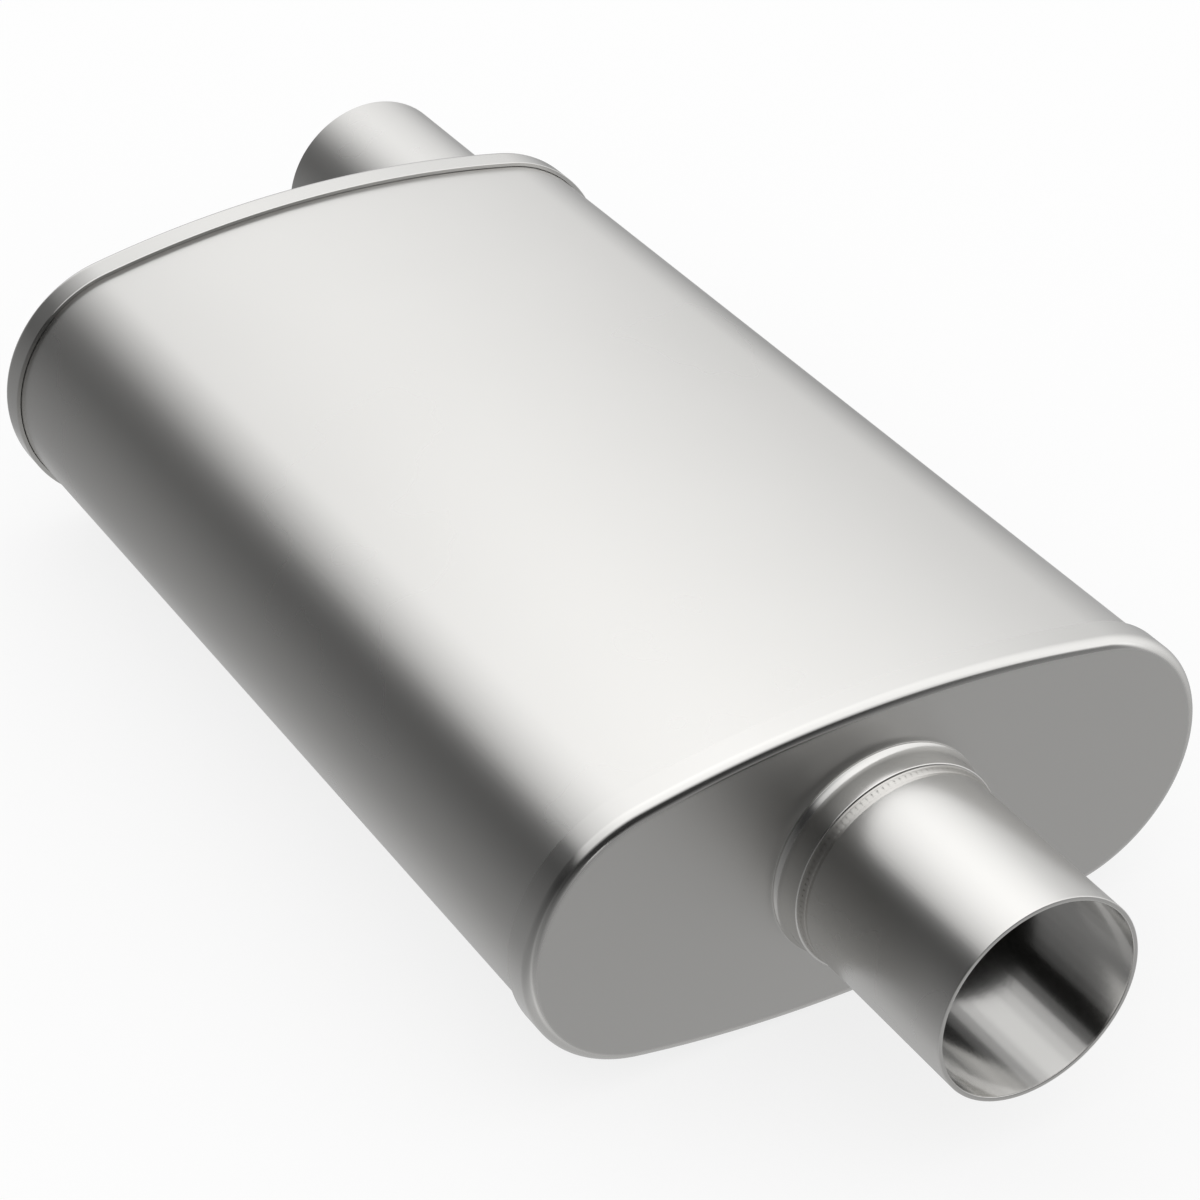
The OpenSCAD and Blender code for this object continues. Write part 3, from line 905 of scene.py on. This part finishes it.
class MUFFLER_OT_filling(bpy.types.Operator):
    """Build the steel wool round the core and the two halves of fibre packing"""

    bl_idname = "muffler.filling"
    bl_label = "Wool and packing"

    def execute(self, context):
        sizes, finish = context.scene.muffler_sizes, context.scene.muffler_finish
        # the third number sets how dark the painted shade in the gaps between the strands is
        wool = fibrous("steel wool", finish.wool_colour, 0.25, 0.7,
                       ((700, 90, 700), (160, 500, 160)))
        packing = fibrous("fibre packing", finish.packing_colour, 0.55, 0.0,
                          ((420, 40, 420), (120, 260, 120)))
        strands = fibre_tree()
        tube = self.sleeve(sizes)
        low = sizes.neck_id / 2 + sizes.core_t + sizes.wool_t / 2
        line = centre_line(sizes)
        # loose fibres keep off the ends, the bore and the parting of the halves, so that none stands out
        sleeve_end, mat_end, parting = 0.007, 0.016, 0.006
        self.mark(tube, lambda at: abs(at.y) < line[-1][1] - sleeve_end
                  and math.hypot(self.away(line, at), at.z) > low)
        sleeve = run_tree(tube, strands, density=40000.0, length=0.009, thickness=0.00011,
                          sink=0.0003, spread=1.0, seed=3, material=wool)
        self.smooth(sleeve)
        seat(sleeve, wool, "steel_wool", "steel_wool_sleeve")
        for name, node, way, seed in (("upper_fibre_mat", "upper_packing", 1, 5),
                                      ("lower_fibre_mat", "lower_packing", -1, 8)):
            mat = self.mat(sizes, name, way)
            self.mark(mat, lambda at: abs(at.y) < sizes.body_l / 2 - mat_end and abs(at.z) > parting)
            mat = run_tree(mat, strands, density=22000.0, length=0.017, thickness=0.00014,
                           sink=0.00025, spread=0.45, seed=seed, material=packing)
            self.smooth(mat)
            seat(mat, packing, "fibre_packing", node)
        return {"FINISHED"}

    def mark(self, piece, test):
        """Marks the faces that carry loose fibres"""
        marks = piece.data.attributes.new("fibres", "BOOLEAN", "FACE")
        marks.data.foreach_set("value", [bool(test(face.center)) for face in piece.data.polygons])

    def away(self, line, at):
        """The distance of a point from the centre line, seen from above"""
        return min(math.dist((at.x, at.y), spot) for spot in line)

    def smooth(self, piece):
        piece.data.shade_smooth()
        piece.data.set_sharp_from_angle(angle=math.radians(60))

    def lump(self, x, y, z, size, depth):
        """How far the matted surface lies below the space it may fill"""
        spot = Vector((x, y, z)) / size
        return depth * (0.5 + 0.5 * max(-1.0, min(1.0, noise.fractal(spot, 1.0, 2.0, 3))))

    def sleeve(self, sizes):
        """Steel wool swept along the core's centre line, lumpy on its outside"""
        line = centre_line(sizes)
        low = sizes.neck_id / 2 + sizes.core_t + sizes.gap
        high = low + sizes.wool_t
        around, loops = 72, []
        places = [(x, y, self.slope(line, i)) for i, (x, y) in enumerate(line)]
        for outside in (True, False):
            for x, y, (along_x, along_y) in places if outside else reversed(places):
                loop = []
                for k in range(around):
                    angle = 2 * math.pi * k / around
                    c, s = math.cos(angle), math.sin(angle)
                    r = low
                    if outside:
                        r = high - self.lump(x + high * c, y, high * s, 0.006, 0.0007)
                    loop.append((x + along_y * r * c, y - along_x * r * c, r * s))
                loops.append(loop)
        return joined_loops("wool_sleeve", loops)

    def slope(self, line, i):
        """The direction of the centre line at one of its points"""
        a, b = line[max(i - 1, 0)], line[min(i + 1, len(line) - 1)]
        d = math.dist(a, b)
        return (b[0] - a[0]) / d, (b[1] - a[1]) / d

    def mat(self, sizes, name, way):
        """Half of the packing: the oval outside, the channel of the wool and the bells inside"""
        line = centre_line(sizes)
        end_y = line[-1][1]
        wool_r = sizes.neck_id / 2 + sizes.core_t + sizes.gap + sizes.wool_t + sizes.fill_gap
        bell_r = sizes.neck_id / 2 + sizes.neck_t + sizes.gap + sizes.core_t + sizes.fill_gap
        half = sizes.body_l / 2 - sizes.cap_t - sizes.fill_gap
        inside, split = -(sizes.shell_t + sizes.fill_gap), sizes.fill_gap / 2
        rim = [(x, z) for x, _, z in oval_loop(sizes, inside, 0) if z > split]
        rim.sort(key=lambda p: -math.atan2(p[1], p[0]))
        edge = sizes.body_w / 2 + inside
        rim = [(-edge, split)] + rim + [(edge, split)]
        count = 56
        outer = [rim[round(i * (len(rim) - 1) / (count - 1))] for i in range(count)]
        step = end_y + sizes.fill_gap
        brink, short, long = 0.0001, 10, 110
        spots = [-half + (half - step) * i / short for i in range(short + 1)]
        spots += [-step + brink + 2 * (step - brink) * i / long for i in range(long + 1)]
        spots += [step + (half - step) * i / short for i in range(short + 1)]
        loops = []
        for y in spots:
            radius = wool_r if abs(y) < step else bell_r
            loop = []
            for i, (x, z) in enumerate(outer):
                sunk = self.lump(x, y, z, 0.011, 0.0008) if 0 < i < count - 1 else 0.0
                reach = math.hypot(x, z)
                keep = 1 - sunk / reach
                loop.append((x * keep, y, way * max(z * keep, split)))
            low = math.asin(split / radius)
            for i in range(count):
                angle = low + (math.pi - 2 * low) * i / (count - 1)
                x = self.reach(line, y, radius * abs(math.cos(angle)), math.cos(angle) > 0)
                loop.append((x, y, way * radius * math.sin(angle)))
            loops.append(loop)
        return self.closed(name, loops, count)

    def reach(self, line, y, distance, right):
        """How far to one side the channel of that half-width reaches at y, as its line bends"""
        best = None
        for (ax, ay), (bx, by) in zip([(line[0][0], -1.0)] + line, line + [(line[-1][0], 1.0)]):
            near = min(max(y, ay), by)
            for py in (near, ay, by):
                off = y - py
                if abs(off) > distance + 1e-9:
                    continue
                share = (py - ay) / (by - ay)
                x = ax + (bx - ax) * share
                wide = math.sqrt(max(distance ** 2 - off ** 2, 0.0))
                x = x + wide if right else x - wide
                if best is None or (x > best if right else x < best):
                    best = x
        return best

    def closed(self, name, loops, count):
        """A closed skin through open-ended loops, whose outer and inner halves face each other"""
        size = 2 * count
        points = [p for loop in loops for p in loop]
        faces = []
        for i in range(len(loops) - 1):
            for j in range(size):
                n = (j + 1) % size
                faces.append((i * size + j, i * size + n, (i + 1) * size + n, (i + 1) * size + j))
        for base in (0, (len(loops) - 1) * size):
            for j in range(count - 1):
                faces.append((base + j, base + j + 1, base + size - 2 - j, base + size - 1 - j))
        piece = new_object(name, points, faces)
        face_outwards(piece.data)
        return piece


# The cloth of the light tent. Each band is a place along the muffler's length, and says how bright the cloth
# is at a few angles round it, in degrees from straight up towards the left. Over the muffler the cloth is
# bright. It has a black flag on the left, a grey wall below that, and a dark curtain in front of the inlet.
TENT_BANDS = (
    (-2.0, ((-180, 0.4), (-130, 0.4), (-60, 0.1), (-30, 0.04), (40, 0.04), (75, 0.12), (180, 0.4))),
    (-1.25, ((-180, 0.52), (-135, 0.5), (-110, 0.33), (-75, 0.22), (-40, 0.04), (10, 0.08), (30, 0.03),
             (70, 0.06), (90, 0.18), (120, 0.35), (160, 0.5), (180, 0.52))),
    (-0.95, ((-180, 0.75), (-135, 0.46), (-118, 0.65), (-80, 1.6), (-58, 1.5), (-30, 0.8), (10, 0.8),
             (30, 0.38), (50, 0.05), (68, 0.08), (90, 0.25), (120, 0.5), (160, 0.95), (180, 0.75))),
    (-0.60, ((-180, 0.62), (-120, 0.6), (-80, 1.3), (-55, 1.45), (10, 1.5), (39, 0.85), (50, 0.04),
             (65, 0.04), (90, 0.18), (120, 0.38), (142, 0.63), (180, 0.62))),
    (0.55, ((-180, 0.6), (-118, 0.47), (-60, 1.0), (-38, 1.5), (-12, 1.78), (10, 1.6), (38, 1.0),
            (48, 0.06), (65, 0.06), (103, 0.29), (123, 0.36), (160, 0.63), (180, 0.6))),
    (0.85, ((-180, 0.6), (-130, 0.55), (-110, 0.32), (-65, 1.0), (-20, 1.55), (10, 1.33), (28, 0.97),
            (47, 0.22), (60, 0.12), (85, 0.18), (123, 0.34), (145, 0.5), (180, 0.6))),
    (1.45, ((-180, 0.6), (-130, 0.53), (-110, 0.36), (-63, 1.1), (-28, 1.35), (-5, 1.18), (30, 0.4),
            (45, 0.18), (70, 0.15), (105, 0.28), (160, 0.4), (180, 0.6))),
)

# The strip lamps in a neck lie in two rows, each from one depth behind the mouth to the next. A row says how
# bright they are at a few angles round the neck, in degrees from the +X side towards up.
NECK_LAMPS = (
    (0.024, 0.033, ((-180, 0.05), (-150, 0.15), (-100, 0.24), (-75, 0.3), (-25, 0.22), (10, 0.34),
                    (60, 1.0), (85, 1.0), (118, 0.6), (140, 0.0), (180, 0.0))),
    (0.033, 0.080, ((-180, 0.05), (-150, 0.15), (-100, 0.22), (-80, 0.22), (-30, 0.02), (-5, 0.02),
                    (10, 0.13), (50, 0.9), (60, 1.0), (85, 1.0), (118, 0.6), (140, 0.0), (180, 0.0))),
)
NECK_STRIPS = 20


def level_at(stops, degrees):
    """The brightness between two of a row's stops"""
    for (first, before), (last, after) in zip(stops, stops[1:]):
        if degrees <= last:
            return before + (after - before) * (degrees - first) / (last - first)


def glow_material(name, bands, strength):
    """A cloth that glows by the angle round the Y axis, blended between bands along that axis"""
    material = bpy.data.materials.new(name)
    tree = nodes_for(material)
    link = tree.links.new
    out = add(tree, "ShaderNodeOutputMaterial", (1400, 0))
    glow = add(tree, "ShaderNodeEmission", (1000, 0))
    where = add(tree, "ShaderNodeTexCoord", (-900, 0))
    split = add(tree, "ShaderNodeSeparateXYZ", (-700, 0))
    link(where.outputs["Object"], split.inputs[0])
    x, along, z = split.outputs
    angle = calc(tree, "ARCTAN2", calc(tree, "MULTIPLY", x, -1.0), z)
    share = calc(tree, "ADD", calc(tree, "DIVIDE", angle, 2 * math.pi), 0.5)
    top = max(value for _, stops in bands for _, value in stops)
    before = None
    for i, (place, band) in enumerate(bands):
        ramp = add(tree, "ShaderNodeValToRGB", (0, -300 * i))
        stops = ramp.color_ramp.elements
        for k, (degrees, value) in enumerate(band):
            at = degrees / 360 + 0.5
            stop = stops[0] if k == 0 else stops[-1] if k == len(band) - 1 else stops.new(at)
            stop.position = at
            stop.color = (value / top, value / top, value / top, 1)
        link(share, ramp.inputs["Fac"])
        colour = ramp.outputs["Color"]
        if before is not None:
            blend = add(tree, "ShaderNodeMapRange", (300, -300 * i), interpolation_type="SMOOTHSTEP")
            blend.inputs["From Min"].default_value = bands[i - 1][0]
            blend.inputs["From Max"].default_value = place
            link(along, blend.inputs["Value"])
            mix = add(tree, "ShaderNodeMix", (600, -200 * i), data_type="RGBA")
            link(blend.outputs[0], mix.inputs["Factor"])
            link(before, mix.inputs[6])
            link(colour, mix.inputs[7])
            colour = mix.outputs[2]
        before = colour
    link(before, glow.inputs["Color"])
    glow.inputs["Strength"].default_value = top * strength
    link(glow.outputs[0], out.inputs["Surface"])
    return material


def only_in_reflections(card):
    card.visible_camera = False
    card.visible_diffuse = False
    card.visible_shadow = False
    card.visible_transmission = False
    card.visible_volume_scatter = False


def tent_cloth(name, radius, length, steps=96):
    """A plain open tube round the Y axis that faces inwards"""
    points, faces = [], []
    for i in range(steps):
        angle = 2 * math.pi * i / steps
        for y in (-length / 2, length / 2):
            points.append((radius * math.cos(angle), y, radius * math.sin(angle)))
    for i in range(steps):
        a, b = 2 * i, 2 * ((i + 1) % steps)
        faces.append((a, b, b + 1, a + 1))
    return new_object(name, points, faces)


class MUFFLER_OT_stage(bpy.types.Operator):
    """Build the floor, the light tent, the lamps in the necks, and the camera"""

    bl_idname = "muffler.stage"
    bl_label = "Stage"

    def execute(self, context):
        scene = context.scene
        stage = scene.muffler_stage
        self.floor(stage)
        self.tent(stage)
        self.neck_lamps(scene, scene.muffler_sizes)
        self.world(scene)
        self.camera(scene, stage)
        return {"FINISHED"}

    def floor(self, stage):
        half = 12.0
        corners = [(x * half, y * half, FLOOR_Z) for x, y in ((-1, -1), (1, -1), (1, 1), (-1, 1))]
        floor = new_object("studio_floor", corners, [(0, 1, 2, 3)], smooth=False)
        material = bpy.data.materials.new("pale floor")
        tree = nodes_for(material)
        link = tree.links.new
        out = add(tree, "ShaderNodeOutputMaterial", (600, 0))
        shader = add(tree, "ShaderNodeBsdfPrincipled", (0, 0))
        shader.inputs["Base Color"].default_value = (*stage.floor_colour, 1)
        shader.inputs["Roughness"].default_value = 0.9
        shader.inputs["Specular IOR Level"].default_value = 0.2
        white = add(tree, "ShaderNodeEmission", (0, -500))
        rays = add(tree, "ShaderNodeLightPath", (0, 500))
        mix = add(tree, "ShaderNodeMixShader", (400, 0))
        link(calc(tree, "MULTIPLY", rays.outputs["Is Camera Ray"], stage.floor_white), mix.inputs[0])
        link(shader.outputs[0], mix.inputs[1])
        link(white.outputs[0], mix.inputs[2])
        link(mix.outputs[0], out.inputs["Surface"])
        floor.data.materials.append(material)
        floor.visible_glossy = False

    def tent(self, stage):
        tent = tent_cloth("light_tent", stage.tent_radius, stage.tent_length)
        tent.data.materials.append(glow_material("tent cloth", TENT_BANDS, stage.tent_strength))
        only_in_reflections(tent)

    def neck_lamps(self, scene, sizes):
        """Strip lamps side by side round the inside of each neck light its wall, and show only in it"""
        r, mouth = sizes.neck_id / 2 - 0.0001, sizes.body_l / 2 + sizes.neck_l
        turn = 2 * math.pi / NECK_STRIPS
        off, width = r * math.cos(turn / 2), 2 * r * math.sin(turn / 2)
        for near, far, stops in NECK_LAMPS:
            for end, x in ((-1, 0.0), (1, sizes.outlet_offset)):
                for i in range(NECK_STRIPS):
                    angle = (i + 0.5) * turn - math.pi
                    level = level_at(stops, math.degrees(angle))
                    if level < 0.02:
                        continue
                    data = bpy.data.lights.new("neck strip", "AREA")
                    data.shape = "RECTANGLE"
                    data.size, data.size_y = width, far - near
                    data.energy = level * math.pi * width * (far - near)
                    lamp = bpy.data.objects.new("neck_strip", data)
                    c, s, y = math.cos(angle), math.sin(angle), end * (mouth - (near + far) / 2)
                    lamp.matrix_world = Matrix(((s, 0, c, x + off * c), (0, 1, 0, y), (-c, 0, s, off * s),
                                                (0, 0, 0, 1)))
                    scene.collection.objects.link(lamp)
                    only_in_reflections(lamp)

    def world(self, scene):
        world = bpy.data.worlds.new("studio")
        scene.world = world
        world.use_nodes = True
        back = world.node_tree.nodes["Background"]
        back.inputs["Color"].default_value = (1, 1, 1, 1)
        back.inputs["Strength"].default_value = 1.0

    def camera(self, scene, stage):
        data = bpy.data.cameras.new("camera")
        camera = bpy.data.objects.new("camera", data)
        scene.collection.objects.link(camera)
        data.sensor_width = 36.0
        data.lens = stage.camera_lens
        data.shift_x, data.shift_y = stage.camera_shift
        data.clip_start = 0.05
        turn, height, roll = stage.camera_turn, stage.camera_height, stage.camera_roll
        camera.matrix_world = (
            Matrix.Translation(stage.camera_place)
            @ Matrix.Rotation(turn, 4, "Z")
            @ Matrix.Rotation(math.pi / 2 - height, 4, "X")
            @ Matrix.Rotation(roll, 4, "Z")
        )
        scene.camera = camera
        scene.view_settings.view_transform = "Standard"


class MUFFLER_PT_panel(bpy.types.Panel):
    """Sizes, finishes and the steps that build the muffler's looks"""

    bl_idname = "MUFFLER_PT_panel"
    bl_label = "Muffler"
    bl_space_type = "VIEW_3D"
    bl_region_type = "UI"
    bl_category = "Muffler"

    def draw(self, context):
        scene = context.scene
        for group in (scene.muffler_sizes, scene.muffler_finish, scene.muffler_stage):
            box = self.layout.box()
            for key in group.__annotations__:
                box.prop(group, key)
        for step in STEPS:
            self.layout.operator(step.bl_idname)


GROUPS = (MufflerSizes, MufflerFinish, MufflerStage)
STEPS = (MUFFLER_OT_case, MUFFLER_OT_necks, MUFFLER_OT_welds, MUFFLER_OT_core, MUFFLER_OT_filling,
         MUFFLER_OT_stage)


def register():
    for cls in (*GROUPS, *STEPS, MUFFLER_PT_panel):
        bpy.utils.register_class(cls)
    bpy.types.Scene.muffler_sizes = PointerProperty(type=MufflerSizes)
    bpy.types.Scene.muffler_finish = PointerProperty(type=MufflerFinish)
    bpy.types.Scene.muffler_stage = PointerProperty(type=MufflerStage)


def unregister():
    del bpy.types.Scene.muffler_stage
    del bpy.types.Scene.muffler_finish
    del bpy.types.Scene.muffler_sizes
    for cls in reversed((*GROUPS, *STEPS, MUFFLER_PT_panel)):
        bpy.utils.unregister_class(cls)


def main():
    register()
    for step in (bpy.ops.muffler.case, bpy.ops.muffler.necks, bpy.ops.muffler.welds, bpy.ops.muffler.core,
                 bpy.ops.muffler.filling, bpy.ops.muffler.stage):
        step()


if __name__ == "__main__":
    main()
